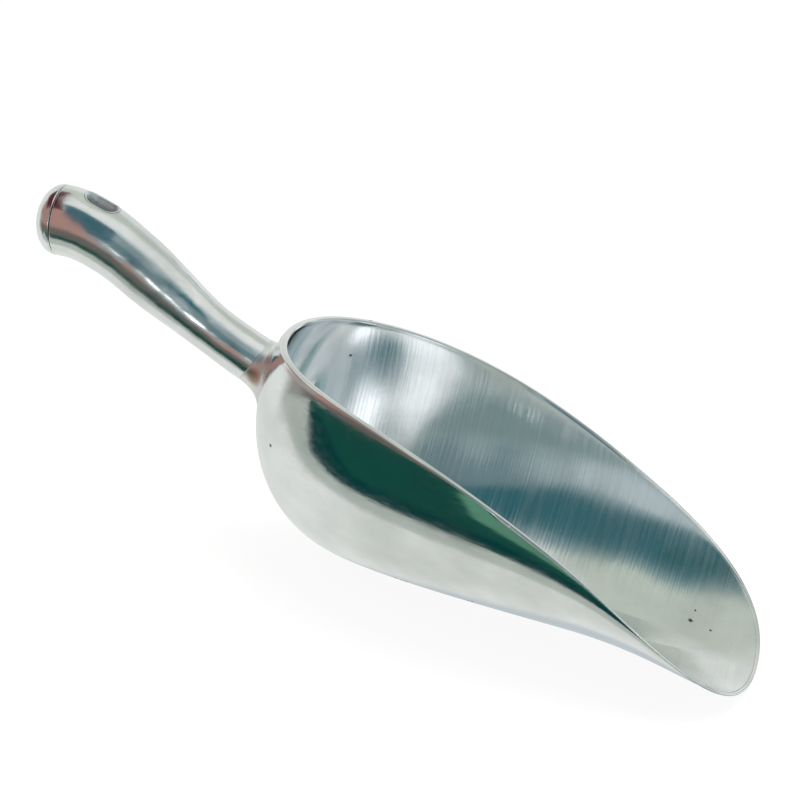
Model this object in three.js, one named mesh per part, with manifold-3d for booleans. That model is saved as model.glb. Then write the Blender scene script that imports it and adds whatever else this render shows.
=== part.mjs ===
// Ice scoop in cast aluminium: a deep trough bowl with a slanted open mouth, and a hollow handle
// welded to the bowl's back wall, with an end cap and a lined hanging hole.
//
// Units are millimetres. +X runs from the handle to the pouring lip, +Z is up, and the part is
// mirror-symmetric about the plane Y = 0. The flat foot under the bowl rests on Z = 0.
// Lengths along X are first laid out from the back of the bowl's rim, and the last line centres
// the whole part on its bounding box.

import * as THREE from 'three';
import { mergeVertices } from 'three/addons/utils/BufferGeometryUtils.js';
import Module from 'manifold-3d';

const wasm = await Module();
wasm.setup();

// ---------------------------------------------------------------- driving dimensions

const GAP = 0.3; // clearance between neighbouring pieces

const BOWL_LENGTH = 225; // back of the rim to the tip of the lip
const BOWL_HALF_WIDTH = 61; // half-width at WIDE_AT, where the back curve meets the front one
const WIDE_AT = 0.646; // share of the length, from the back
const LIP_BLUNTNESS = 1.2; // side reach of the lip's curve, in half-widths
const LIP_SHOULDER = 0.42; // forward reach of the sides, as a share of the front part
const BACK_BLUNTNESS = 0.71; // side reach of the back's curve, in half-widths
const BACK_SHOULDER = 0.68; // backward reach of the sides, as a share of the back part
const RIM_HEIGHTS = [96, 89, 78.3, 39.8, 2.3]; // control heights from the back to the lip

const WALL = 3.2; // wall at the back of the bowl
const WALL_AT_LIP = 1.7;
const WALL_LEAN = 0.45; // how far the walls lean back on their way down, per unit of height
const FULLNESS_BACK = 1.69; // exponent of the wall's rounding, where 2 is a quarter ellipse
const FULLNESS_LIP = 1.2; // close to 1, a straight slope

const FOOT_BACK = 0.19; // the flat foot's ends, as shares of the bowl's length
const FOOT_FRONT = 0.9;
const FOOT_HALF_WIDTH = 11;

const CAP_DOME = 9.5; // height of the domed end cap
const CAP_RADIUS = 15.2;
const SEAM_CHAMFER = 0.7; // groove where the cap meets the handle
const SPIGOT_LENGTH = 1.6; // part of the cap that plugs the hollow handle
const HANDLE_WALL = 3.2;
const CORE_END = 90; // the hollow stops short of the neck

// Radius of the handle at distances from the cap's seam, measured along the handle.
const HANDLE_OUTLINE = [
  [0, CAP_RADIUS - SEAM_CHAMFER],
  [SEAM_CHAMFER, CAP_RADIUS],
  [9, 14.9],
  [19, 14.5],
  [31, 13.7],
  [45, 13.5],
  [57, 12.5],
  [67, 11.4],
  [79, 10.6],
  [100, 10.8],
];
const NECK_RADIUS = 10.8;
const WELD_FILLET = 6; // radius of the weld's hollow curve
const WELD_EDGE = 0.5; // thickness where the weld ends on the handle
const WELD_TILT = 0.18; // slope of the bowl's back wall across the handle's section
const WELD_BEND = 1 / 120; // hollow of the same wall from side to side, per millimetre
const WALL_AT = 109.2; // distance from the cap's seam at which the handle meets that wall

const HOLE_AT = 13.5; // centre of the hanging hole, from the cap's seam
const HOLE_LENGTH = 13;
const HOLE_WIDTH = 8;
const LINER_WALL = 1.8;

// Centre line of the handle, in the plane Y = 0, from the cap's seam down into the bowl wall.
const handleAxis = new THREE.CubicBezierCurve3(
  new THREE.Vector3(-104.3, 0, 119.8),
  new THREE.Vector3(-74.6, 0, 121.5),
  new THREE.Vector3(-52.9, 0, 90.5),
  new THREE.Vector3(4, 0, 73.8),
);
const AXIS_LENGTH = handleAxis.getLength();

// Numbers of steps.
const RIM_STEPS = 24; // along each of the two curves of half the rim
const WALL_STEPS = 10; // from the foot to the rim
const HANDLE_STEPS = 26;
const HANDLE_SIDES = 28;

// ---------------------------------------------------------------- solids

// A closed mesh from rings of equal numbers of points: a fan closes each end.
const closedRings = (rings, firstCentre, lastCentre) => {
  const size = rings[0].length;
  const points = [firstCentre, ...rings.flat(), lastCentre];
  const at = (ring, i) => 1 + ring * size + (i % size);
  const faces = [];
  for (let i = 0; i < size; i += 1) {
    faces.push(0, at(0, i + 1), at(0, i));
    for (let ring = 0; ring + 1 < rings.length; ring += 1) {
      faces.push(at(ring, i), at(ring, i + 1), at(ring + 1, i + 1));
      faces.push(at(ring, i), at(ring + 1, i + 1), at(ring + 1, i));
    }
    faces.push(points.length - 1, at(rings.length - 1, i), at(rings.length - 1, i + 1));
  }
  const geometry = new THREE.BufferGeometry().setFromPoints(points);
  geometry.setIndex(faces);
  return geometry;
};

const toSolid = (geometry) => {
  const bare = geometry.clone();
  bare.deleteAttribute('normal');
  bare.deleteAttribute('uv');
  const welded = mergeVertices(bare, 1e-4);
  return new wasm.Manifold(new wasm.Mesh({
    numProp: 3,
    vertProperties: Float32Array.from(welded.attributes.position.array),
    triVerts: Uint32Array.from(welded.index.array),
  }));
};

const toGeometry = (solid) => {
  const mesh = solid.getMesh();
  const geometry = new THREE.BufferGeometry();
  geometry.setAttribute('position', new THREE.BufferAttribute(mesh.vertProperties, 3));
  geometry.setIndex(new THREE.BufferAttribute(mesh.triVerts, 1));
  geometry.computeVertexNormals();
  return geometry;
};

// ---------------------------------------------------------------- bowl

// Half of the rim seen from above, from the tip of the lip round to the back, with Y positive.
const rimOutline = () => {
  const wideX = WIDE_AT * BOWL_LENGTH;
  const front = new THREE.CubicBezierCurve(
    new THREE.Vector2(BOWL_LENGTH, 0),
    new THREE.Vector2(BOWL_LENGTH, LIP_BLUNTNESS * BOWL_HALF_WIDTH),
    new THREE.Vector2(wideX + LIP_SHOULDER * (BOWL_LENGTH - wideX), BOWL_HALF_WIDTH),
    new THREE.Vector2(wideX, BOWL_HALF_WIDTH),
  );
  const back = new THREE.CubicBezierCurve(
    new THREE.Vector2(wideX, BOWL_HALF_WIDTH),
    new THREE.Vector2(wideX * (1 - BACK_SHOULDER), BOWL_HALF_WIDTH),
    new THREE.Vector2(0, BACK_BLUNTNESS * BOWL_HALF_WIDTH),
    new THREE.Vector2(0, 0),
  );
  return [...front.getPoints(RIM_STEPS), ...back.getPoints(RIM_STEPS).slice(1)];
};

// Height of the rim at a share of the bowl's length: a Bezier curve of degree 4.
const rimHeight = (share) => {
  let heights = RIM_HEIGHTS;
  while (heights.length > 1) {
    heights = heights.slice(1).map((h, i) => THREE.MathUtils.lerp(heights[i], h, share));
  }
  return heights[0];
};

// One point of the bowl's outer face moved inwards by inset walls: turn 0 is the edge of the
// foot and turn 1 is the rim.
const wallPoint = (outline, turn, inset) => {
  const share = outline.x / BOWL_LENGTH;
  const depth = inset * THREE.MathUtils.lerp(WALL, WALL_AT_LIP, share);
  const rimX = outline.x + depth * (1 - 2 * share);
  const rimY = outline.y * (1 - depth / BOWL_HALF_WIDTH);
  const rimZ = rimHeight(share);

  const along = 2 * share - 1;
  const footX = BOWL_LENGTH * THREE.MathUtils.lerp(FOOT_BACK, FOOT_FRONT, share);
  const footY = FOOT_HALF_WIDTH * Math.sqrt(1 - along * along);

  const power = 2 / THREE.MathUtils.lerp(FULLNESS_BACK, FULLNESS_LIP, share);
  const out = Math.sin(turn * Math.PI / 2) ** power;
  const up = 1 - Math.max(Math.cos(turn * Math.PI / 2), 0) ** power;
  const z = depth + (rimZ - depth) * up;
  const leaned = footX + (rimX - WALL_LEAN * (rimZ - depth) - footX) * out;
  return new THREE.Vector3(leaned + WALL_LEAN * (z - depth), footY + (rimY - footY) * out, z);
};

// A ring of the bowl's face round both sides, counter-clockwise seen from above.
const wallRing = (turn, inset) => {
  const half = rimOutline().map((point) => wallPoint(point, turn, inset));
  const mirrored = half.slice(1, -1).reverse().map((p) => new THREE.Vector3(p.x, -p.y, p.z));
  return [...half, ...mirrored];
};

const wallRings = (inset) => {
  const rings = [];
  for (let step = 0; step <= WALL_STEPS; step += 1) {
    rings.push(wallRing(step / WALL_STEPS, inset));
  }
  return rings;
};

const footCentre = (inset) => {
  const x = BOWL_LENGTH * (FOOT_BACK + FOOT_FRONT) / 2;
  const z = inset * (WALL + WALL_AT_LIP) / 2;
  return new THREE.Vector3(x, 0, z);
};

const bowlShell = () => closedRings(
  [...wallRings(0), ...wallRings(1).reverse()],
  footCentre(0),
  footCentre(1),
);

// The bowl filled up to its rim and grown by the clearance, to cut what stands against it.
const bowlFilled = () => {
  const grown = -GAP / WALL;
  const middle = new THREE.Vector3(BOWL_LENGTH / 2, 0, rimHeight(0.5));
  return toSolid(closedRings(wallRings(grown), footCentre(grown), middle));
};

// ---------------------------------------------------------------- handle

const axisPoint = (distance) => handleAxis.getPointAt(distance / AXIS_LENGTH);
const axisTangent = (distance) => handleAxis.getTangentAt(distance / AXIS_LENGTH);

// A solid of round sections along the handle's centre line. Stations are [distance, radius].
// Tilt and bend push the sections along the handle, so that they lie along the bowl's wall.
const alongHandle = (stations, tilt = 0, bend = 0) => {
  const side = new THREE.Vector3(0, 1, 0);
  const centre = (distance) => {
    const held = THREE.MathUtils.clamp(distance, 0, AXIS_LENGTH);
    return axisPoint(held).addScaledVector(axisTangent(held), distance - held);
  };
  const rings = stations.map(([distance, radius]) => {
    const held = THREE.MathUtils.clamp(distance, 0, AXIS_LENGTH);
    const tangent = axisTangent(held);
    const lift = new THREE.Vector3().crossVectors(tangent, side);
    const ring = [];
    for (let i = 0; i < HANDLE_SIDES; i += 1) {
      const angle = 2 * Math.PI * i / HANDLE_SIDES;
      const across = radius * Math.cos(angle);
      const up = radius * Math.sin(angle);
      ring.push(centre(distance)
        .addScaledVector(side, across)
        .addScaledVector(lift, up)
        .addScaledVector(tangent, bend * across * across - tilt * up));
    }
    return ring;
  });
  return closedRings(rings, centre(stations[0][0]), centre(stations.at(-1)[0]));
};

const handleStations = () => {
  const [edge, ...smooth] = HANDLE_OUTLINE.map(([d, r]) => new THREE.Vector2(d, r));
  const curve = new THREE.SplineCurve(smooth);
  const stations = curve.getPoints(HANDLE_STEPS).map((p) => [p.x, p.y]);
  return [[edge.x, edge.y], ...stations, [AXIS_LENGTH, NECK_RADIUS]];
};

const handleOuter = () => toSolid(alongHandle(handleStations()));

const grownHandle = () => toSolid(alongHandle(handleStations().map(([d, r]) => [d, r + GAP])));

const handleCore = () => {
  const inside = handleStations().slice(1)
    .filter(([distance]) => distance < CORE_END)
    .map(([distance, radius]) => [distance, radius - HANDLE_WALL]);
  return toSolid(alongHandle([[-1, inside[0][1]], ...inside]));
};

// An upright oval bar through the handle at the hanging hole.
const holeBar = (length, width) => {
  const straight = (length - width) / 2;
  const outline = new THREE.Shape();
  outline.absarc(straight, 0, width / 2, -Math.PI / 2, Math.PI / 2);
  outline.absarc(-straight, 0, width / 2, Math.PI / 2, 3 * Math.PI / 2);
  const reach = 50;
  const bar = new THREE.ExtrudeGeometry(outline, {
    depth: reach, bevelEnabled: false, curveSegments: 10,
  });
  bar.translate(0, 0, -reach / 2);
  const tangent = axisTangent(HOLE_AT);
  const side = new THREE.Vector3(0, 1, 0);
  const lift = new THREE.Vector3().crossVectors(tangent, side);
  const place = new THREE.Matrix4().makeBasis(tangent, side, lift);
  place.setPosition(axisPoint(HOLE_AT));
  bar.applyMatrix4(place);
  return toSolid(bar);
};

const linerLength = HOLE_LENGTH + 2 * LINER_WALL;
const linerWidth = HOLE_WIDTH + 2 * LINER_WALL;

const handleShell = (bowl) => toGeometry(handleOuter()
  .subtract(handleCore())
  .subtract(holeBar(linerLength + 2 * GAP, linerWidth + 2 * GAP))
  .subtract(bowl));

const holeLiner = () => toGeometry(handleOuter()
  .intersect(holeBar(linerLength, linerWidth).subtract(holeBar(HOLE_LENGTH, HOLE_WIDTH))));

const endCap = () => {
  const dome = [];
  const steps = 8;
  for (let i = 1; i <= steps; i += 1) {
    const angle = (Math.PI / 2) * i / steps;
    dome.push([-GAP - SEAM_CHAMFER - CAP_DOME * Math.cos(angle), CAP_RADIUS * Math.sin(angle)]);
  }
  const spigot = handleStations()[1][1] - HANDLE_WALL - GAP;
  return alongHandle([
    ...dome,
    [-GAP, CAP_RADIUS - SEAM_CHAMFER],
    [-GAP, spigot],
    [SPIGOT_LENGTH, spigot],
  ]);
};

// The weld flares from the handle's neck on to the bowl's back wall in a hollow curve.
const neckWeld = (bowl) => {
  const steps = 8;
  const flare = [];
  for (let i = 0; i <= steps; i += 1) {
    const angle = (Math.PI / 2) * i / steps;
    flare.push([
      WALL_AT - WELD_FILLET * (1 - Math.sin(angle)),
      NECK_RADIUS + GAP + WELD_EDGE + WELD_FILLET * (1 - Math.cos(angle)),
    ]);
  }
  flare.push([WALL_AT + 2 * WALL, flare.at(-1)[1]]);
  return toGeometry(toSolid(alongHandle(flare, WELD_TILT, WELD_BEND))
    .subtract(grownHandle())
    .subtract(bowl));
};

// ---------------------------------------------------------------- the scoop

const aluminium = (color, roughness) => new THREE.MeshStandardMaterial({
  color, roughness, metalness: 1,
});

const named = (name, geometry, material) => {
  const mesh = new THREE.Mesh(geometry, material);
  mesh.name = name;
  return mesh;
};

const bowl = bowlFilled();
const scoop = new THREE.Group();
scoop.add(named('scoop_bowl', bowlShell(), aluminium(0xc9cdc8, 0.3)));
scoop.add(named('handle_shell', handleShell(bowl), aluminium(0xc4c9c4, 0.22)));
scoop.add(named('neck_weld', neckWeld(bowl), aluminium(0xbab5ac, 0.4)));
scoop.add(named('handle_end_cap', endCap(), aluminium(0xc4c4bf, 0.22)));
scoop.add(named('hang_hole_liner', holeLiner(), aluminium(0xc6cac6, 0.35)));

const box = new THREE.Box3().setFromObject(scoop);
scoop.position.x = -(box.min.x + box.max.x) / 2;

export default scoop;
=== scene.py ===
"""Ice scoop in cast aluminium: the visual model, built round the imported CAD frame.

The scoop's lengths are in millimetres until a mesh is made. Meshes, cards, lights and the camera
are in metres. The bowl, the handle and the weld follow the same curves as the CAD solids, at a
finer step and with rounded edges. +X runs from the handle to the pouring lip, and the scoop
stands on Z = 0.
"""

import math

import bpy
from mathutils import Matrix, Vector, noise
from mathutils.bvhtree import BVHTree


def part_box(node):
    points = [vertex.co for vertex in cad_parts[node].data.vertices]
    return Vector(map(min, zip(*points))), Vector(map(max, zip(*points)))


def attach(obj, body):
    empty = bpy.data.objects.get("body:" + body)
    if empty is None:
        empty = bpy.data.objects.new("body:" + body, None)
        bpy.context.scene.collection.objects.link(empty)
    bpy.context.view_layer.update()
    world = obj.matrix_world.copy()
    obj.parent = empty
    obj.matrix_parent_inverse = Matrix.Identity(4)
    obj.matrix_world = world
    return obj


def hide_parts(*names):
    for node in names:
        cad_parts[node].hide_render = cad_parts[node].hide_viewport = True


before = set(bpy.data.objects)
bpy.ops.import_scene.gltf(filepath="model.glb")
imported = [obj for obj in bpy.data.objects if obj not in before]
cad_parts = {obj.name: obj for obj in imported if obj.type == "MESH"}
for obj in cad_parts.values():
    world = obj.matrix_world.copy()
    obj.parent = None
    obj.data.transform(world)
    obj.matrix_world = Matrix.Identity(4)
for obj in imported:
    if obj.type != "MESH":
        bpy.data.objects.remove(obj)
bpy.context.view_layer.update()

MM = 0.001

# ---------------------------------------------------------------- driving dimensions

BOWL_LENGTH = 225.0
BOWL_HALF_WIDTH = 61.0
WIDE_AT = 0.646
LIP_BLUNTNESS = 1.2
LIP_SHOULDER = 0.42
BACK_BLUNTNESS = 0.71
BACK_SHOULDER = 0.68
RIM_HEIGHTS = (96.0, 89.0, 78.3, 39.8, 2.3)
WALL = 3.2
WALL_AT_LIP = 1.7
WALL_LEAN = 0.45  # how far a wall's section leans towards the lip, per millimetre of height
FULLNESS_BACK = 1.69
FULLNESS_LIP = 1.2
FOOT_BACK = 0.19
FOOT_FRONT = 0.9
FOOT_HALF_WIDTH = 11.0
RIM_ROUND = 0.7  # radius of the rim's two edges

CAP_DOME = 9.5
CAP_RADIUS = 15.2
SEAM_ROUND = 0.5  # edge rounding on both sides of the cap's seam
SEAM_GAP = 0.3
HANDLE_OUTLINE = (
    (0.7, 15.2),
    (9, 14.9),
    (19, 14.5),
    (31, 13.7),
    (45, 13.5),
    (57, 12.5),
    (67, 11.4),
    (79, 10.6),
    (100, 10.8),
)
HANDLE_END = 109.0  # the handle's end, hidden in the weld and the bowl's wall
NECK_RADIUS = 10.8
HANDLE_AXIS = ((-104.3, 0, 119.8), (-74.6, 0, 121.5), (-52.9, 0, 90.5), (4, 0, 73.8))

WELD_LOW = 10.0  # reach of the weld's fillet under the handle
WELD_HIGH = 3.0  # and above it
WELD_STRETCH = 1.2  # its reach along the handle, for each millimetre of reach on the wall
WELD_CLEARANCE = 0.02  # how far its corner line stands out from the neck
WELD_ROOT_HANDLE = 0.3  # how deep its hidden edges lie in the handle
WELD_ROOT_WALL = 0.8  # and in the bowl's wall

HOLE_AT = 13.5
HOLE_LENGTH = 13.0
HOLE_WIDTH = 8.0
LINER_WALL = 1.8
LINER_ROUND = 1.6  # rounding of the hole's mouth, seen from above
LINER_ROUND_DEPTH = 5.0  # and down into the hole
LINER_SINK = 0.1  # how far its mouths lie below the handle's true surface
LINER_LIP = 0.6  # height of the straight band below each mouth's outer edge
LINER_CLEARANCE = 0.1
CUTTER_REACH = 25.0  # how far the hole's cutter reaches above and below the handle's centre

# How unevenly the metal was polished by hand: heights and sizes of the waves.
INSIDE_WAVE = 0.35
INSIDE_WAVE_SIZES = (24, 24, 60)  # along X, Y and Z
HANDLE_WAVE = 0.16
HANDLE_WAVE_SIZE = 17
HANDLE_RIPPLE = 0.08  # finer waves on top of the wide ones
HANDLE_RIPPLE_SIZE = 6
HANDLE_POLISHED_OFF = 0.12
EVEN_AT_SEAM = 10.0  # the waves grow from none at the cap's seam to all over this length

# Mesh steps.
RIM_STEPS = 110  # along each of the two curves of half the rim
WALL_STEPS = 48
ROUND_STEPS = 5
HANDLE_STEPS = 220
HANDLE_SIDES = 120
CAP_STEPS = 24
HOLE_STEPS = 72
WELD_STEPS = 16

# The frame says where the lip's tip is, so the back of the rim is one bowl's length behind it.
BACK_OF_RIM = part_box("scoop_bowl")[1][0] / MM - BOWL_LENGTH
SIDE = Vector((0, 1, 0))


def placed(x, y, z):
    """A point laid out from the back of the rim, in millimetres, as a point of the frame."""
    return Vector(((x + BACK_OF_RIM) * MM, y * MM, z * MM))


def mix(a, b, share):
    return a + (b - a) * share


def bezier(points, share):
    """A point of the Bezier curve with these control points, or a number for plain numbers."""
    while len(points) > 1:
        points = [mix(a, b, share) for a, b in zip(points, points[1:])]
    return points[0]


def mesh_object(name, points, faces):
    """A smooth-shaded object from points and faces."""
    mesh = bpy.data.meshes.new(name)
    mesh.from_pydata([tuple(p) for p in points], [], faces)
    mesh.validate()
    mesh.shade_smooth()
    piece = bpy.data.objects.new(name, mesh)
    bpy.context.scene.collection.objects.link(piece)
    return piece


def bands(rings, size):
    """Quads between neighbouring rings of equal size."""
    faces = []
    for ring in range(rings - 1):
        low = ring * size
        for i in range(size):
            j = (i + 1) % size
            faces.append((low + i, low + j, low + size + j, low + size + i))
    return faces


# ---------------------------------------------------------------- bowl


def rim_outline():
    """Half of the rim seen from above, from the lip's tip to the back, with Y positive."""
    wide_x = WIDE_AT * BOWL_LENGTH
    side = BOWL_HALF_WIDTH
    front = [
        Vector((BOWL_LENGTH, 0)),
        Vector((BOWL_LENGTH, LIP_BLUNTNESS * side)),
        Vector((mix(wide_x, BOWL_LENGTH, LIP_SHOULDER), side)),
        Vector((wide_x, side)),
    ]
    back = [
        Vector((wide_x, side)),
        Vector((wide_x * (1 - BACK_SHOULDER), side)),
        Vector((0, BACK_BLUNTNESS * side)),
        Vector((0, 0)),
    ]
    steps = [i / RIM_STEPS for i in range(RIM_STEPS + 1)]
    return [bezier(front, s) for s in steps] + [bezier(back, s) for s in steps[1:]]


def wall_point(outline, turn, depth):
    """A point of the bowl's wall, depth inside its outer face: turn 0 is the foot, 1 the rim."""
    share = outline.x / BOWL_LENGTH
    rim_x = outline.x + depth * (1 - 2 * share)
    rim_y = outline.y * (1 - depth / BOWL_HALF_WIDTH)
    rim_z = bezier(RIM_HEIGHTS, share)
    foot_x = BOWL_LENGTH * mix(FOOT_BACK, FOOT_FRONT, share)
    foot_y = FOOT_HALF_WIDTH * math.sqrt(max(1 - (2 * share - 1) ** 2, 0))
    power = 2 / mix(FULLNESS_BACK, FULLNESS_LIP, share)
    out = math.sin(turn * math.pi / 2) ** power
    up = 1 - max(math.cos(turn * math.pi / 2), 0) ** power
    z = mix(depth, rim_z, up)
    x = mix(foot_x, rim_x - WALL_LEAN * (rim_z - depth), out) + WALL_LEAN * (z - depth)
    return Vector((x, mix(foot_y, rim_y, out), z))


def wall_at(outline):
    """The wall's thickness, which falls evenly from the back to the lip."""
    return mix(WALL, WALL_AT_LIP, outline.x / BOWL_LENGTH)


def hand_polished(point, turn):
    """Polishing by hand left the inside slightly wavy, least at the foot and at the rim."""
    wave = noise.noise(Vector([value / size for value, size in zip(point, INSIDE_WAVE_SIZES)]))
    return point + SIDE * INSIDE_WAVE * wave * math.sin(math.pi * turn) ** 0.5


def bowl_rings(outline):
    """Rings of half the bowl, from the foot's outer edge over the rim to the inside's floor."""
    turns = [i / WALL_STEPS for i in range(WALL_STEPS)]
    outside = [[wall_point(p, t, 0) for p in outline] for t in turns]
    inside = [[hand_polished(wall_point(p, t, wall_at(p)), t) for p in outline] for t in turns]
    rim = []
    for step in range(2 * ROUND_STEPS + 2):
        inner_edge = step > ROUND_STEPS
        angle = math.pi / 2 * (step - inner_edge) / ROUND_STEPS
        ring = []
        for p in outline:
            wall = wall_at(p)
            outer, inner = wall_point(p, 1, 0), wall_point(p, 1, wall)
            across = (inner - outer).normalized()
            edge = inner - across * RIM_ROUND if inner_edge else outer + across * RIM_ROUND
            drop = RIM_ROUND * (1 - math.sin(angle))
            ring.append(edge - across * RIM_ROUND * math.cos(angle) - Vector((0, 0, drop)))
        rim.append(ring)
    return outside + rim + inside[::-1]


def make_bowl():
    """The bowl as one skin: outside, rounded rim and inside, with a flat foot."""
    outline = rim_outline()
    half = len(outline)
    size = 2 * half - 2
    rings = bowl_rings(outline)
    points = []
    for ring in rings:
        points += [placed(*p) for p in ring]
        points += [placed(p.x, -p.y, p.z) for p in ring[-2:0:-1]]
    faces = bands(len(rings), size)
    top = (len(rings) - 1) * size
    # Strips across close the flat foot and the floor of the inside.
    for i in range(half - 1):
        near, far = -i % size, -(i + 1) % size
        faces.append((i, near, far, i + 1) if i else (0, far, 1))
        faces.append((top + i, top + i + 1, top + far, top + near) if i else (top, top + 1, top + far))
    faces = [tuple(dict.fromkeys(face)) for face in faces]
    piece = mesh_object("bowl", points, faces)
    outside_rings = WALL_STEPS + ROUND_STEPS
    for face in piece.data.polygons:
        inside = min(face.vertices) // size >= outside_rings
        face.material_index = 1 if inside else 0
    return piece


# ---------------------------------------------------------------- handle


AXIS = [Vector(p) for p in HANDLE_AXIS]
AXIS_STEPS = 400
AXIS_POINTS = [bezier(AXIS, i / AXIS_STEPS) for i in range(AXIS_STEPS + 1)]


def axis_frame(distance):
    """The handle's centre, tangent and lift at a distance from the cap's seam."""
    if distance < 0:
        centre, tangent, lift = axis_frame(0)
        return centre + tangent * distance, tangent, lift
    gone = 0.0
    for a, b in zip(AXIS_POINTS, AXIS_POINTS[1:]):
        step = (b - a).length
        if gone + step >= distance:
            tangent = (b - a) / step
            return a + tangent * (distance - gone), tangent, tangent.cross(SIDE)
        gone += step
    raise ValueError("past the end of the handle's centre line")


def handle_radius(distance):
    """Catmull-Rom curve through the handle's outline."""
    knots = [HANDLE_OUTLINE[0], *HANDLE_OUTLINE, (HANDLE_END + 12, NECK_RADIUS)]
    for a, b, c, d in zip(knots, knots[1:], knots[2:], knots[3:]):
        if distance <= c[0]:
            break
    t = (distance - b[0]) / (c[0] - b[0])
    bend = (2 * a[1] - 5 * b[1] + 4 * c[1] - d[1]) * t * t
    twist = (3 * b[1] - a[1] - 3 * c[1] + d[1]) * t ** 3
    return (2 * b[1] + (c[1] - a[1]) * t + bend + twist) / 2


def handle_point(distance, radius, angle):
    """A point round the handle's centre line. Angle 0 is the far side and a quarter turn the top."""
    centre, tangent, lift = axis_frame(distance)
    return centre + (SIDE * math.cos(angle) + lift * math.sin(angle)) * radius


def unevenness(point):
    """How far outside its true shape hand polishing left the casting, in millimetres."""
    wide = noise.noise(point / HANDLE_WAVE_SIZE)
    fine = noise.noise(point / HANDLE_RIPPLE_SIZE + Vector((7, 3, 5)))
    return HANDLE_WAVE * wide + HANDLE_RIPPLE * fine - HANDLE_POLISHED_OFF


def revolved(name, stations):
    """A closed piece of round sections along the handle. Stations are (distance, radius)."""
    points = []
    for distance, radius in stations:
        for i in range(HANDLE_SIDES):
            angle = 2 * math.pi * i / HANDLE_SIDES
            share = min(max(distance / EVEN_AT_SEAM, 0), 1)
            uneven = unevenness(handle_point(distance, radius, angle)) * share
            points.append(placed(*handle_point(distance, radius + uneven, angle)))
    faces = bands(len(stations), HANDLE_SIDES)
    last = (len(stations) - 1) * HANDLE_SIDES
    faces.append(tuple(reversed(range(HANDLE_SIDES))))
    faces.append(tuple(range(last, last + HANDLE_SIDES)))
    return mesh_object(name, points, faces)


def edge_round(distance, radius, direction):
    """Stations of a rounded edge at a seam: direction is the way that the piece goes on."""
    stations = []
    for i in range(ROUND_STEPS + 1):
        angle = math.pi / 2 * i / ROUND_STEPS
        along = distance + direction * SEAM_ROUND * (1 - math.cos(angle))
        stations.append((along, radius - SEAM_ROUND * (1 - math.sin(angle))))
    return stations


def make_handle():
    """The handle's skin, with the hanging hole cut through it."""
    stations = edge_round(0, handle_radius(SEAM_ROUND), 1)
    for i in range(1, HANDLE_STEPS + 1):
        distance = mix(SEAM_ROUND, HANDLE_END, i / HANDLE_STEPS)
        stations.append((distance, handle_radius(distance)))
    piece = revolved("handle", stations)
    cutter = hole_cutter()
    cut = piece.modifiers.new("hang_hole", "BOOLEAN")
    cut.operation = "DIFFERENCE"
    cut.solver = "EXACT"
    cut.object = cutter
    baked = bpy.data.meshes.new_from_object(piece.evaluated_get(bpy.context.evaluated_depsgraph_get()))
    piece.modifiers.clear()
    piece.data = baked
    piece.data.set_sharp_from_angle(angle=math.radians(40))
    bpy.data.objects.remove(cutter)
    return piece


def make_end_cap():
    """The domed end, across the seam from the handle."""
    start = -SEAM_GAP - SEAM_ROUND
    stations = []
    for i in range(1, CAP_STEPS + 1):
        angle = math.pi / 2 * i / CAP_STEPS
        stations.append((start - CAP_DOME * math.cos(angle), CAP_RADIUS * math.sin(angle)))
    stations += edge_round(-SEAM_GAP, CAP_RADIUS, -1)[-2::-1]
    return revolved("end_cap", stations)


# ---------------------------------------------------------------- hanging hole


def slot_outline(length, width):
    """Points round a slot, as offsets along the handle and across it."""
    straight = (length - width) / 2
    outline = []
    for i in range(HOLE_STEPS):
        angle = 2 * math.pi * (i + 0.5) / HOLE_STEPS
        shift = math.copysign(straight, math.cos(angle))
        outline.append((shift + width / 2 * math.cos(angle), width / 2 * math.sin(angle)))
    return outline


def hole_point(along, across, height):
    """A point of the frame from offsets along the handle, across it and up from its centre."""
    centre, tangent, lift = axis_frame(HOLE_AT)
    return placed(*(centre + tangent * along + SIDE * across + lift * height))


def hole_cutter():
    """A slot-shaped bar that leaves room for the liner."""
    wall = LINER_WALL + LINER_CLEARANCE
    outline = slot_outline(HOLE_LENGTH + 2 * wall, HOLE_WIDTH + 2 * wall)
    points = [hole_point(a, b, h) for h in (-CUTTER_REACH, CUTTER_REACH) for a, b in outline]
    size = len(outline)
    faces = bands(2, size) + [tuple(reversed(range(size))), tuple(range(size, 2 * size))]
    return mesh_object("cutter", points, faces)


def make_liner():
    """The tube that lines the hole: its mouths follow the handle and are rounded inwards."""
    sections = []
    for side in (-1, 1):
        mouth = [(LINER_WALL, LINER_LIP), (LINER_WALL, 0.0)]
        for i in range(2 * ROUND_STEPS + 1):
            angle = math.pi / 2 * i / (2 * ROUND_STEPS)
            inwards = LINER_ROUND * (1 - math.sin(angle))
            mouth.append((inwards, LINER_ROUND_DEPTH * (1 - math.cos(angle))))
        sections += [(wall, drop, side) for wall, drop in (mouth if side < 0 else mouth[::-1])]
    points = []
    for wall, drop, side in sections:
        for along, across in slot_outline(HOLE_LENGTH + 2 * wall, HOLE_WIDTH + 2 * wall):
            radius = handle_radius(HOLE_AT + along)
            surface = math.sqrt(radius ** 2 - across ** 2)
            points.append(hole_point(along, across, side * (surface - LINER_SINK - drop)))
    size = len(points) // len(sections)
    faces = [face[::-1] for face in bands(len(sections), size)]
    last = len(points) - size
    for i in range(size):
        j = (i + 1) % size
        faces.append((i, j, last + j, last + i))
    piece = mesh_object("hang_hole_rim", points, faces)
    piece.data.set_sharp_from_angle(angle=math.radians(40))
    return piece


# ---------------------------------------------------------------- weld


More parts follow.
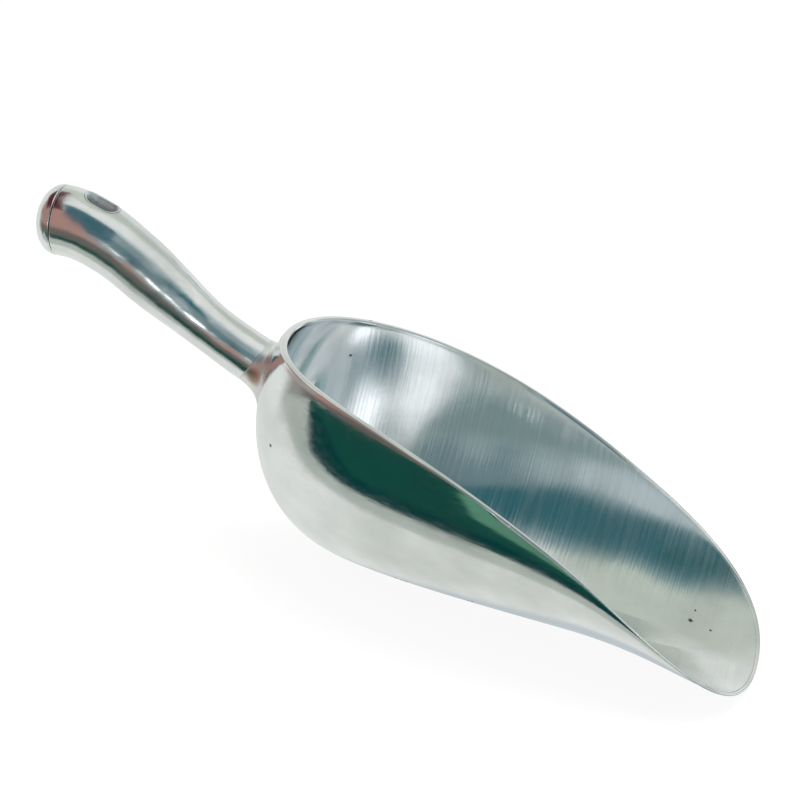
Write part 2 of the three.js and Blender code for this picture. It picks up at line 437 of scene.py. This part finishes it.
def make_weld(bowl):
    """A fillet from the handle's neck to the bowl's back wall, found on the wall itself."""
    wall = BVHTree.FromPolygons(
        [vertex.co for vertex in bowl.data.vertices],
        [tuple(face.vertices) for face in bowl.data.polygons],
    )
    start = HANDLE_END - 2 * WELD_LOW
    radius = NECK_RADIUS + WELD_CLEARANCE
    centre, tangent, _ = axis_frame(HANDLE_END)
    rings = [[] for _ in range(WELD_STEPS + 4)]
    for i in range(HANDLE_SIDES):
        angle = 2 * math.pi * i / HANDLE_SIDES
        origin = placed(*handle_point(start, radius, angle))
        ahead = (placed(*handle_point(HANDLE_END, radius, angle)) - origin).normalized()
        corner = wall.ray_cast(origin, ahead)[0]
        radial = corner - placed(*centre)
        radial -= tangent * radial.dot(tangent)
        radial.normalize()
        low = (1 - math.sin(angle)) / 2
        reach = mix(WELD_HIGH, WELD_LOW, low) * MM
        begin = corner - ahead * reach * WELD_STRETCH
        end, normal, _, _ = wall.find_nearest(corner + radial * reach)
        rings[0].append(begin - radial * WELD_ROOT_HANDLE * MM)
        for step in range(WELD_STEPS + 1):
            rings[step + 1].append(bezier([begin, corner, end], step / WELD_STEPS))
        rings[-2].append(end - normal * WELD_ROOT_WALL * MM)
        rings[-1].append(corner + (ahead - radial) * WELD_ROOT_WALL * MM)
    # The last ring lies inside the metal, and joins the first one there to close the bead.
    rings.append(rings[0])
    points = [p for ring in rings[:-1] for p in ring]
    size = len(points)
    faces = [tuple(v % size for v in face) for face in bands(len(rings), HANDLE_SIDES)]
    return mesh_object("neck_weld_fillet", points, faces)


# ---------------------------------------------------------------- materials


def node(tree, kind, **settings):
    """A new node with these settings."""
    made = tree.nodes.new(kind)
    for key, value in settings.items():
        setattr(made, key, value)
    return made


def set_inputs(made, **values):
    for key, value in values.items():
        made.inputs[key.replace("_", " ")].default_value = value
    return made


def stretched_noise(tree, stretch, detail=3.0):
    """Noise over object coordinates. Stretch is the number of features per metre on each axis."""
    place = node(tree, "ShaderNodeTexCoord")
    mapping = node(tree, "ShaderNodeMapping")
    mapping.inputs["Scale"].default_value = stretch
    tree.links.new(place.outputs["Object"], mapping.inputs["Vector"])
    texture = set_inputs(node(tree, "ShaderNodeTexNoise"), Scale=1.0, Detail=detail)
    tree.links.new(mapping.outputs["Vector"], texture.inputs["Vector"])
    return texture.outputs["Fac"]


def mapped(tree, value, low, high, start=0.0, end=1.0):
    """A number changed from the range start to end into low to high."""
    made = node(tree, "ShaderNodeMapRange")
    tree.links.new(value, made.inputs["Value"])
    made.inputs["From Min"].default_value = start
    made.inputs["From Max"].default_value = end
    made.inputs["To Min"].default_value = low
    made.inputs["To Max"].default_value = high
    return made.outputs["Result"]


def combined(tree, operation, a, b):
    """The result of a math operation on two sockets or numbers."""
    made = node(tree, "ShaderNodeMath", operation=operation)
    for socket, value in zip(made.inputs, (a, b)):
        if isinstance(value, (int, float)):
            socket.default_value = value
        else:
            tree.links.new(value, socket)
    return made.outputs["Value"]


def spots(tree, places):
    """1 inside small spots and 0 outside. Places are (point in the frame, radius in mm)."""
    position = node(tree, "ShaderNodeTexCoord").outputs["Object"]
    total = 0.0
    for point, radius in places:
        away = node(tree, "ShaderNodeVectorMath", operation="DISTANCE")
        tree.links.new(position, away.inputs[0])
        away.inputs[1].default_value = point
        inside = mapped(tree, away.outputs["Value"], 1.0, 0.0, 0.4 * radius * MM, radius * MM)
        total = combined(tree, "MAXIMUM", inside, total)
    return total


def tinted(tree, factor, plain, tint):
    """The colour plain where the factor is 0 and tint where it is 1."""
    made = node(tree, "ShaderNodeMix", data_type="RGBA")
    tree.links.new(factor, made.inputs["Factor"])
    for socket, value in ((made.inputs[6], plain), (made.inputs[7], tint)):
        if isinstance(value, tuple):
            socket.default_value = (*value, 1.0)
        else:
            tree.links.new(value, socket)
    return made.outputs[2]


def towards_lip(tree):
    """0 in the bowl's back half and 1 at its lip."""
    place = node(tree, "ShaderNodeTexCoord")
    axes = node(tree, "ShaderNodeSeparateXYZ")
    tree.links.new(place.outputs["Object"], axes.inputs["Vector"])
    start, end = placed(WIDE_AT * BOWL_LENGTH / 2, 0, 0).x, placed(BOWL_LENGTH, 0, 0).x
    return mapped(tree, axes.outputs["X"], 0.0, 1.0, start, end)


ALUMINIUM = (0.92, 0.935, 0.94)
ALUMINIUM_WORN = tuple(0.86 * c for c in ALUMINIUM)
# Dark colour of the pits, and of the painted contact shadow where the bowl's base meets the floor.
PIT_AND_PAINTED_SHADOW_COLOR = (0.10, 0.11, 0.10)
HEAT_TINT = (0.66, 0.47, 0.38)
CLOUD_SCALE = (38, 38, 38)  # features per metre of the metal's slow changes
CASTING_SCALE = (420, 420, 420)  # and of its casting texture
PIT_ROUGHNESS = 0.3  # added inside a pit
PIT_DEPTH = 3.0  # in bump heights


def aluminium(name, roughness, grain, grain_depth, pits_and_painted_shadow=(), heat_tints=(), duller_lip=0.0):
    """Cast and polished aluminium. Grain is the brushing's feature count per metre on each axis."""
    material = bpy.data.materials.new(name)
    material.use_nodes = True
    tree = material.node_tree
    shader = tree.nodes["Principled BSDF"]
    shader.inputs["Metallic"].default_value = 1.0
    brushing = stretched_noise(tree, grain)
    clouds = stretched_noise(tree, CLOUD_SCALE, detail=4.0)
    casting = stretched_noise(tree, CASTING_SCALE, detail=5.0)

    shade = tinted(tree, mapped(tree, clouds, 0, 1, 0.35, 0.65), ALUMINIUM, ALUMINIUM_WORN)
    shade = tinted(tree, mapped(tree, brushing, 0, 0.18, 0.45, 0.75), shade, ALUMINIUM_WORN)
    if heat_tints:
        shade = tinted(tree, spots(tree, heat_tints), shade, HEAT_TINT)
    low, high = roughness
    rough = mapped(tree, clouds, low, high, 0.3, 0.7)
    rough = combined(tree, "ADD", rough, mapped(tree, brushing, -0.04, 0.05, 0.3, 0.7))
    if duller_lip:
        rough = combined(tree, "ADD", rough, combined(tree, "MULTIPLY", towards_lip(tree), duller_lip))
    height = combined(tree, "MULTIPLY", brushing, grain_depth)
    height = combined(tree, "ADD", height, combined(tree, "MULTIPLY", casting, 0.10))
    # Dark spots: pits, and painted contact shadow along the bowl's base, darkened, rougher and sunk by
    # the bump.
    if pits_and_painted_shadow:
        pit_and_painted_shadow_mask = spots(tree, pits_and_painted_shadow)
        shade = tinted(tree, pit_and_painted_shadow_mask, shade, PIT_AND_PAINTED_SHADOW_COLOR)
        rough = combined(tree, "ADD", rough, combined(tree, "MULTIPLY", pit_and_painted_shadow_mask, PIT_ROUGHNESS))
        height = combined(tree, "SUBTRACT", height, combined(tree, "MULTIPLY", pit_and_painted_shadow_mask, PIT_DEPTH))
    bump = set_inputs(node(tree, "ShaderNodeBump"), Strength=0.35, Distance=0.0002)
    tree.links.new(height, bump.inputs["Height"])
    tree.links.new(shade, shader.inputs["Base Color"])
    tree.links.new(rough, shader.inputs["Roughness"])
    tree.links.new(bump.outputs["Normal"], shader.inputs["Normal"])
    return material


def bowl_materials():
    """Brushed along its length on the outside and round its walls on the inside, with pits, and with
    dark spots of painted contact shadow along the outside's base.
    """
    # The first spot is a pit; the five low ones are painted contact shadow, where the base meets the
    # floor.
    outside_pit_and_painted_contact_shadow = (
        (placed(8.6, -29.9, 56.6), 1.0),
        (placed(68.6, -17.6, 4.3), 1.4),
        (placed(71.4, -17.6, 4.1), 1.3),
        (placed(73.6, -18.8, 5.0), 1.2),
        (placed(101.4, -20.6, 4.9), 1.1),
        (placed(103.4, -22.2, 6.1), 1.3),
    )
    inside_pits = (
        (placed(193.4, 16.5, 3.5), 1.4),
        (placed(202.7, 14.0, 2.8), 0.8),
        (placed(194.3, 23.4, 5.1), 0.7),
        (placed(26.3, 41.2, 92.4), 1.0),
        (placed(20.8, 37.1, 75.5), 0.8),
    )
    outside = aluminium("bowl_outside", (0.09, 0.17), (24, 900, 900), 0.20, outside_pit_and_painted_contact_shadow)
    inside = aluminium("bowl_inside", (0.07, 0.15), (900, 22, 22), 0.40, inside_pits, duller_lip=0.14)
    return outside, inside


def handle_materials():
    """The polished handle and cap, the duller liner, and the weld with its brown heat tint."""
    burnt = ((placed(-8, -11, 76), 5.0),)
    handle = aluminium("handle_polish", (0.14, 0.24), (60, 500, 500), 0.25)
    cap = aluminium("cap_polish", (0.12, 0.24), (300, 300, 300), 0.3)
    liner = aluminium("liner_satin", (0.38, 0.50), (300, 300, 300), 0.4)
    weld = aluminium("weld_heat_tint", (0.30, 0.44), (120, 300, 300), 0.4, heat_tints=burnt)
    return handle, cap, liner, weld


# ---------------------------------------------------------------- stage


# What the metal mirrors, as patches of the room round it. Azimuth 0 is the viewer's side and
# grows towards the lip, elevation is above the horizon, and both are in degrees, as is the
# softness of a patch's edges. Slant lowers a patch by that many degrees for each degree of
# azimuth past its first.
ROOM_LIGHT = (0.77, 0.79, 0.765)
ROOM = (  # azimuths, elevations, softness, slant, colour
    ((-200, 200), (-95, -66), 12, 0.0, (0.66, 0.69, 0.64)),
    ((135, 200), (34, 95), 16, 0.0, (0.50, 0.55, 0.49)),
    ((-200, -140), (34, 95), 16, 0.0, (0.56, 0.60, 0.54)),
    ((-100, -45), (-2, 36), 12, 0.0, (0.38, 0.24, 0.21)),
    ((-90, -50), (-26, 0), 12, 0.0, (0.30, 0.29, 0.27)),
    ((-10, 62), (-16, 64), 12, 0.0, (0.46, 0.53, 0.55)),
    ((-14, 18), (-4, 22), 10, 0.0, (0.18, 0.26, 0.26)),
    ((-14, 11), (20, 46), 8, 0.0, (0.09, 0.18, 0.19)),
    ((-62, -5), (-18, 58), 8, 0.16, (0.42, 0.24, 0.205)),
    ((-72, 60), (-46, -8), 8, 0.0, (0.13, 0.125, 0.115)),
    ((58, 100), (14, 36), 8, 0.0, (0.66, 0.71, 0.73)),
    ((58, 100), (-8, 14), 8, 0.0, (0.30, 0.42, 0.45)),
    ((100, 118), (18, 36), 5, 0.0, (0.56, 0.62, 0.65)),
    ((100, 118), (-8, 18), 5, 0.0, (0.28, 0.38, 0.41)),
    ((118, 138), (-8, 24), 4, 0.0, (0.03, 0.14, 0.165)),
    ((121, 128), (22, 27), 3, 0.0, (1.00, 1.05, 1.10)),
    ((122, 133), (25, 34), 3, 0.0, (1.90, 1.95, 2.00)),
    ((138, 149), (-8, 27), 4, 0.0, (1.24, 1.28, 1.30)),
    ((134, 146), (28, 38), 3, 0.0, (0.24, 0.31, 0.31)),
    ((147, 152), (27, 36), 3, 0.0, (0.78, 0.82, 0.83)),
    ((150, 160), (4, 31), 4, 0.0, (0.16, 0.26, 0.26)),
    ((-200, -164), (-56, -10), 8, 0.0, (0.54, 0.60, 0.63)),
    ((164, 200), (-56, -10), 8, 0.0, (0.54, 0.60, 0.63)),
)

# Cards that only the metal sees: the dark cloth beyond the scoop's white paper, and dark and pale
# shapes overhead. Each has a height and the outline seen from above, in metres. Where two overlap,
# the one nearer the scoop is mirrored.
CARDS = {  # name: height, outline, colour
    "cloth": (
        -0.001,
        ((-0.32, -0.172), (-0.14, -0.097), (-0.10, -0.076), (-0.05, -0.069), (0.60, -0.066),
         (0.60, -0.19), (-0.32, -0.20)),
        (0.007, 0.064, 0.050),
    ),
    "cloth_hem": (
        -0.0007,
        ((-0.22, -0.132), (-0.14, -0.097), (-0.10, -0.076), (-0.05, -0.069), (0.60, -0.066),
         (0.60, -0.080), (-0.05, -0.084), (-0.13, -0.125), (-0.22, -0.16)),
        (0.002, 0.042, 0.040),
    ),
    "cloth_light": (
        -0.0005,
        ((0.0, -0.15), (0.02, -0.105), (0.05, -0.098), (0.60, -0.088), (0.60, -0.18), (0.0, -0.18)),
        (0.10, 0.25, 0.17),
    ),
    "paper_shade": (
        -0.002,
        ((-0.32, -0.05), (-0.14, -0.058), (0.20, -0.056), (0.20, -0.10), (-0.32, -0.22)),
        (0.44, 0.48, 0.44),
    ),
    "overhead_dark": (
        0.300,
        ((0.30, 0.16), (0.215, 0.14), (0.180, 0.0), (0.10, -0.10), (0.045, -0.17), (0.03, -0.30),
         (0.12, -0.26), (0.24, -0.16), (0.31, -0.08)),
        (0.027, 0.115, 0.135),
    ),
    "overhead_darkest": (
        0.299,
        ((0.30, 0.16), (0.24, 0.15), (0.215, 0.03), (0.26, 0.0)),
        (0.012, 0.085, 0.095),
    ),
    "overhead_edge": (
        0.301,
        ((0.30, 0.19), (0.20, 0.17), (0.155, 0.0), (0.07, -0.09), (0.03, -0.17), (0.03, -0.30),
         (0.14, -0.28), (0.27, -0.20), (0.34, -0.08)),
        (0.14, 0.24, 0.26),
    ),
    "overhead_dim": (
        0.300,
        ((-0.06, -0.27), (0.03, -0.30), (0.12, -0.26), (0.115, -0.80), (-0.06, -0.80)),
        (0.14, 0.22, 0.24),
    ),
    "overhead_pale": (
        0.310,
        ((0.07, -0.10), (0.17, -0.10), (0.24, 0.30), (0.24, 0.60), (0.07, 0.60)),
        (0.51, 0.56, 0.49),
    ),
    "beyond_the_cap": (
        0.220,
        ((-0.320, -0.085), (-0.182, -0.085), (-0.182, 0.050), (-0.320, 0.050)),
        (0.085, 0.015, 0.020),
    ),
    "handle_side_dark": (
        0.300,
        ((-0.20, -0.06), (-0.06, -0.09), (-0.06, -0.80), (-0.20, -0.80)),
        (0.040, 0.120, 0.150),
    ),
    "handle_side_dim": (
        0.300,
        ((-0.06, -0.09), (-0.01, -0.12), (0.03, -0.30), (-0.06, -0.27)),
        (0.26, 0.34, 0.35),
    ),
}


def patch(tree, azimuth, elevation, under, azimuths, elevations, softness, slant, color):
    """Lays one soft-edged patch of colour over what is under it."""
    tilted = combined(tree, "SUBTRACT", azimuth, azimuths[0])
    tilted = combined(tree, "MULTIPLY", tilted, slant)
    tilted = combined(tree, "ADD", elevation, tilted)
    inside = 1.0
    for value, (low, high) in ((azimuth, azimuths), (tilted, elevations)):
        rise = mapped(tree, value, 0, 1, low - softness / 2, low + softness / 2)
        fall = mapped(tree, value, 1, 0, high - softness / 2, high + softness / 2)
        inside = combined(tree, "MULTIPLY", combined(tree, "MULTIPLY", rise, fall), inside)
    return tinted(tree, inside, under, color)


def make_surroundings():
    """The room that the metal mirrors. The camera itself sees plain white."""
    world = bpy.data.worlds.new("studio")
    world.use_nodes = True
    bpy.context.scene.world = world
    tree = world.node_tree
    direction = node(tree, "ShaderNodeTexCoord").outputs["Generated"]
    axes = node(tree, "ShaderNodeSeparateXYZ")
    tree.links.new(direction, axes.inputs["Vector"])
    forward = combined(tree, "MULTIPLY", axes.outputs["Y"], -1.0)
    azimuth = combined(tree, "ARCTAN2", axes.outputs["X"], forward)
    azimuth = combined(tree, "MULTIPLY", azimuth, math.degrees(1))
    elevation = combined(tree, "ARCSINE", axes.outputs["Z"], 0.0)
    elevation = combined(tree, "MULTIPLY", elevation, math.degrees(1))
    seen = ROOM_LIGHT
    for settings in ROOM:
        seen = patch(tree, azimuth, elevation, seen, *settings)
    rays = node(tree, "ShaderNodeLightPath")
    shown = tinted(tree, rays.outputs["Is Camera Ray"], seen, (1.0, 1.0, 1.0))
    tree.links.new(shown, tree.nodes["Background"].inputs["Color"])


def make_card(name, height, outline, color):
    """A flat glowing shape that only reflections show."""
    card = mesh_object(name, [(x, y, height) for x, y in outline], [tuple(range(len(outline)))])
    material = bpy.data.materials.new(name)
    material.use_nodes = True
    shader = material.node_tree.nodes["Principled BSDF"]
    shader.inputs["Base Color"].default_value = (0, 0, 0, 1)
    shader.inputs["Specular IOR Level"].default_value = 0.0
    shader.inputs["Emission Color"].default_value = (*color, 1)
    shader.inputs["Emission Strength"].default_value = 1.0
    card.data.materials.append(material)
    card.visible_camera = False
    card.visible_diffuse = False
    card.visible_shadow = False


def make_floor():
    """White paper that takes the scoop's soft shadow. The cards stand in for its reflection."""
    half = 4.0
    corners = [(-half, -half, 0), (half, -half, 0), (half, half, 0), (-half, half, 0)]
    floor = mesh_object("floor", corners, [(0, 1, 2, 3)])
    material = bpy.data.materials.new("floor_paper")
    material.use_nodes = True
    shader = material.node_tree.nodes["Principled BSDF"]
    shader.inputs["Base Color"].default_value = (0.14, 0.14, 0.14, 1)
    shader.inputs["Roughness"].default_value = 1.0
    shader.inputs["Specular IOR Level"].default_value = 0.0
    shader.inputs["Emission Color"].default_value = (1, 1, 1, 1)
    shader.inputs["Emission Strength"].default_value = 0.90
    floor.data.materials.append(material)
    floor.visible_glossy = False


def area_light(name, place, target, size, power, mirrored):
    """A round studio light, which the metal shows only if mirrored is true."""
    data = bpy.data.lights.new(name, "AREA")
    data.shape = "DISK"
    data.size = size
    data.energy = power
    light = bpy.data.objects.new(name, data)
    light.location = place
    light.rotation_euler = (Vector(target) - Vector(place)).to_track_quat("-Z", "Y").to_euler()
    light.visible_glossy = mirrored
    bpy.context.scene.collection.objects.link(light)


def make_camera():
    """The camera looks down from the scoop's right, and is rolled to the right."""
    azimuth, elevation, roll = math.radians(11.0), math.radians(24.6), math.radians(10.045)
    distance, lens = 0.8117, 86.63
    target = placed(53.5, 0, 77.9)
    back = Vector((
        math.sin(azimuth) * math.cos(elevation),
        -math.cos(azimuth) * math.cos(elevation),
        math.sin(elevation),
    ))
    level = Vector((math.cos(azimuth), math.sin(azimuth), 0))
    upright = back.cross(level)
    right = level * math.cos(roll) + upright * math.sin(roll)
    up = back.cross(right)
    data = bpy.data.cameras.new("camera")
    data.lens = lens
    data.sensor_width = 36
    camera = bpy.data.objects.new("camera", data)
    turn = Matrix((right, up, back)).transposed().to_4x4()
    camera.matrix_world = Matrix.Translation(target + back * distance) @ turn
    bpy.context.scene.collection.objects.link(camera)
    bpy.context.scene.camera = camera


# ---------------------------------------------------------------- the scene


def finish_piece(piece, node_name, materials):
    """Gives a piece its materials and its body, and hides the CAD part that it stands for."""
    for material in materials:
        piece.data.materials.append(material)
    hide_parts(node_name)
    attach(piece, "root")


def main():
    make_camera()
    bowl = make_bowl()
    handle_metal, cap_metal, liner_metal, weld_metal = handle_materials()
    finish_piece(bowl, "scoop_bowl", bowl_materials())
    finish_piece(make_handle(), "handle_shell", [handle_metal])
    finish_piece(make_end_cap(), "handle_end_cap", [cap_metal])
    finish_piece(make_liner(), "hang_hole_liner", [liner_metal])
    finish_piece(make_weld(bowl), "neck_weld", [weld_metal])
    make_surroundings()
    make_floor()
    for name, settings in CARDS.items():
        make_card(name, *settings)
    area_light("overhead", (0.1, 0.3, 1.4), (0, 0, 0), 1.0, 12, False)
    area_light("lamp", (0.10, -1.6, 0.22), (-0.09, 0, 0.1), 0.10, 0.5, True)
    bpy.context.scene.view_settings.view_transform = "Standard"


main()
